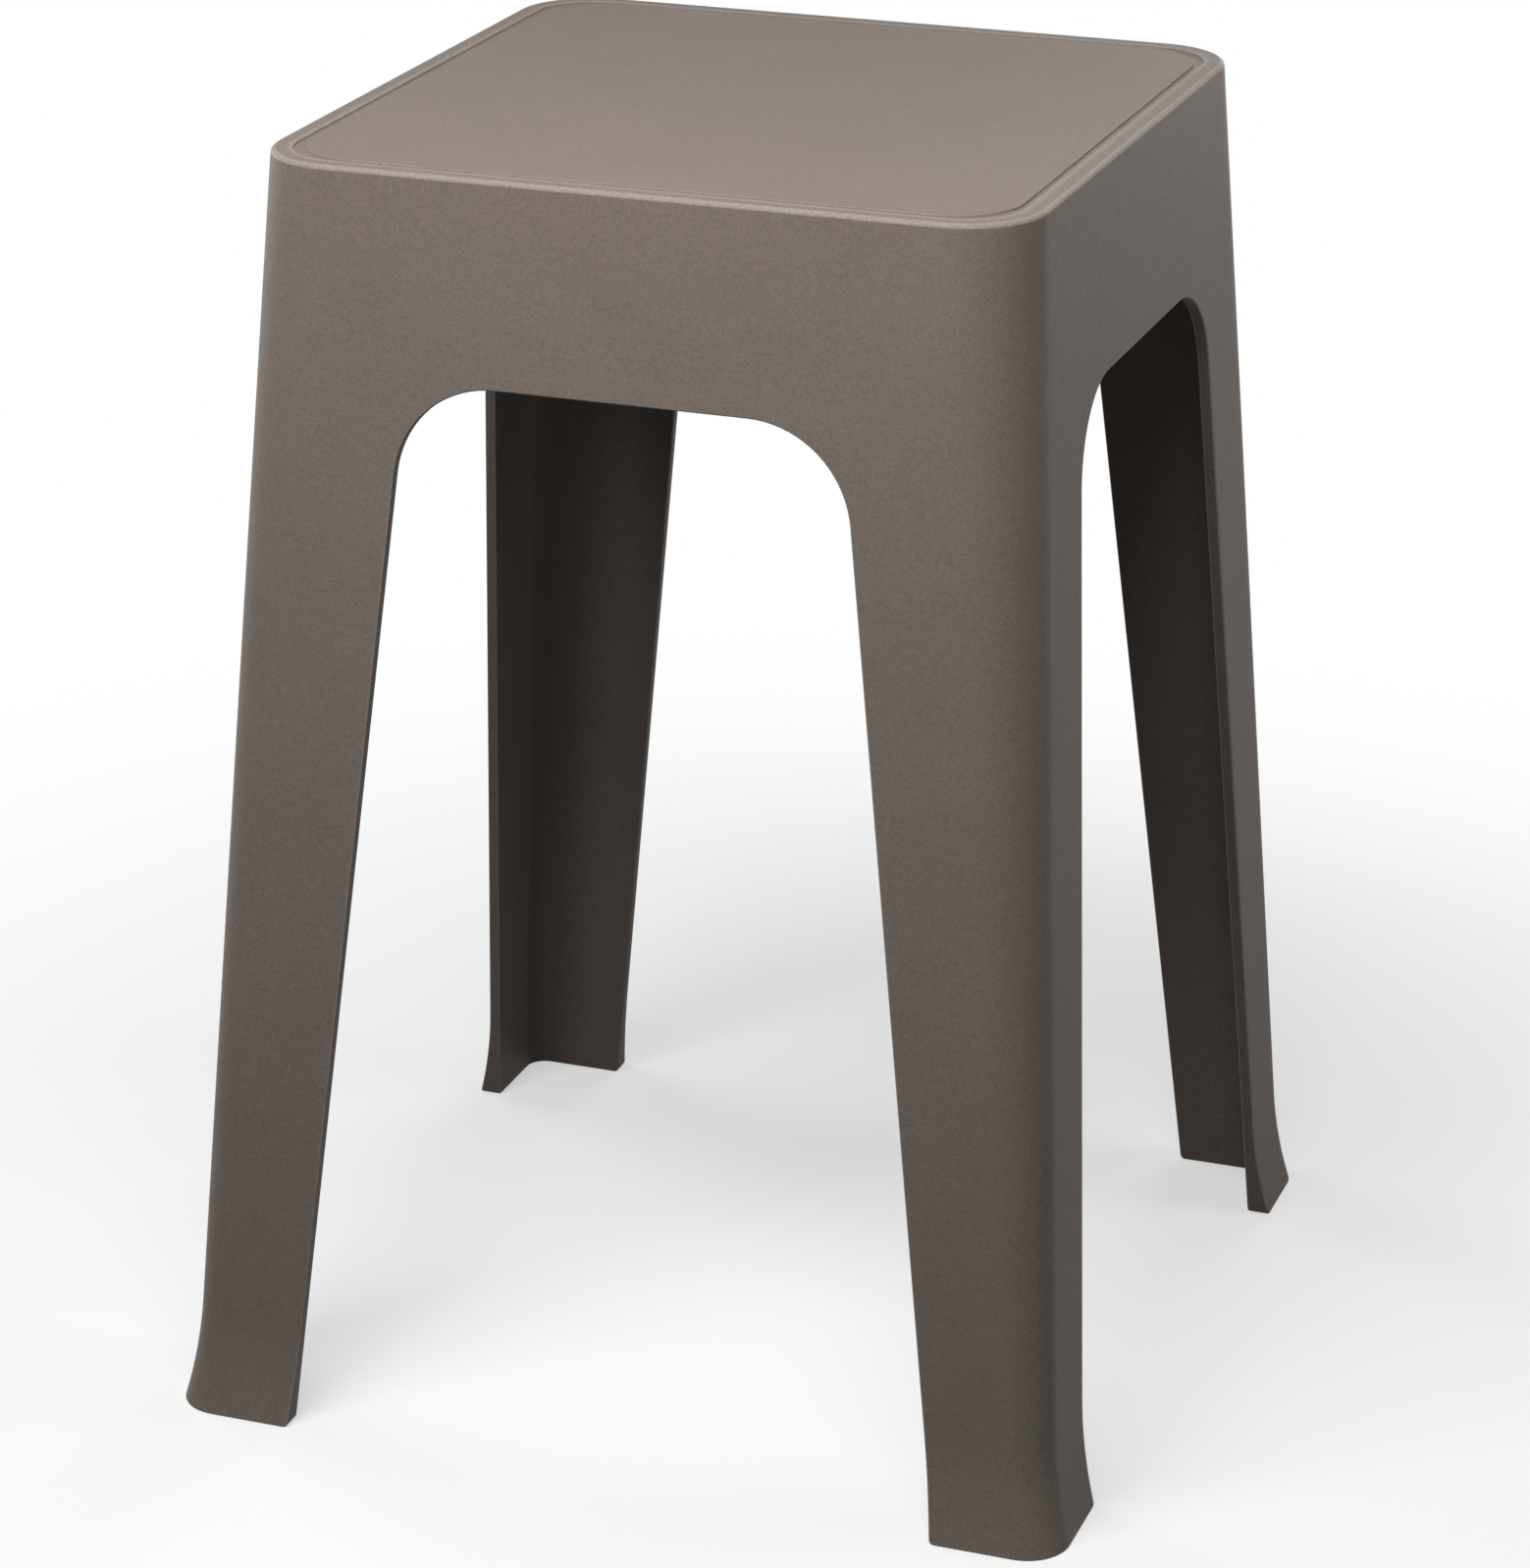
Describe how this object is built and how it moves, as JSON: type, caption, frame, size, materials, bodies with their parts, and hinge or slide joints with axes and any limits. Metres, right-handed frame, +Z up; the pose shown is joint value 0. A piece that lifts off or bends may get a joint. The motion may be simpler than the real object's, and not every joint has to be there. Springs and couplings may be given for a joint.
{
  "type": "stacking stool",
  "caption": "Square one-piece moulded plastic stool with leaning sides cut into corner legs by arches, hollow underneath so that stools nest.",
  "frame": {"origin": "middle of the floor under the stool, at the height of the foot soles", "axes": "+Z up through the seat, -Y towards the front face, +X towards the right face"},
  "size_m": [0.3286, 0.3286, 0.45],
  "materials": {
    "moulded_plastic": "matte taupe polypropylene with a fine mould grain"
  },
  "bodies": {
    "root": {"seat_panel": "moulded_plastic", "apron_right": "moulded_plastic", "apron_back": "moulded_plastic", "apron_left": "moulded_plastic", "apron_front": "moulded_plastic", "leg_back_right": "moulded_plastic", "leg_back_left": "moulded_plastic", "leg_front_left": "moulded_plastic", "leg_front_right": "moulded_plastic", "rib_hub": "moulded_plastic", "rib_right": "moulded_plastic", "rib_back": "moulded_plastic", "rib_left": "moulded_plastic", "rib_front": "moulded_plastic", "diagonal_rib_back_right": "moulded_plastic", "diagonal_rib_back_left": "moulded_plastic", "diagonal_rib_front_left": "moulded_plastic", "diagonal_rib_front_right": "moulded_plastic", "stacking_stop_back_right": "moulded_plastic", "stacking_stop_back_left": "moulded_plastic", "stacking_stop_front_left": "moulded_plastic", "stacking_stop_front_right": "moulded_plastic"}
  },
  "joints": []
}
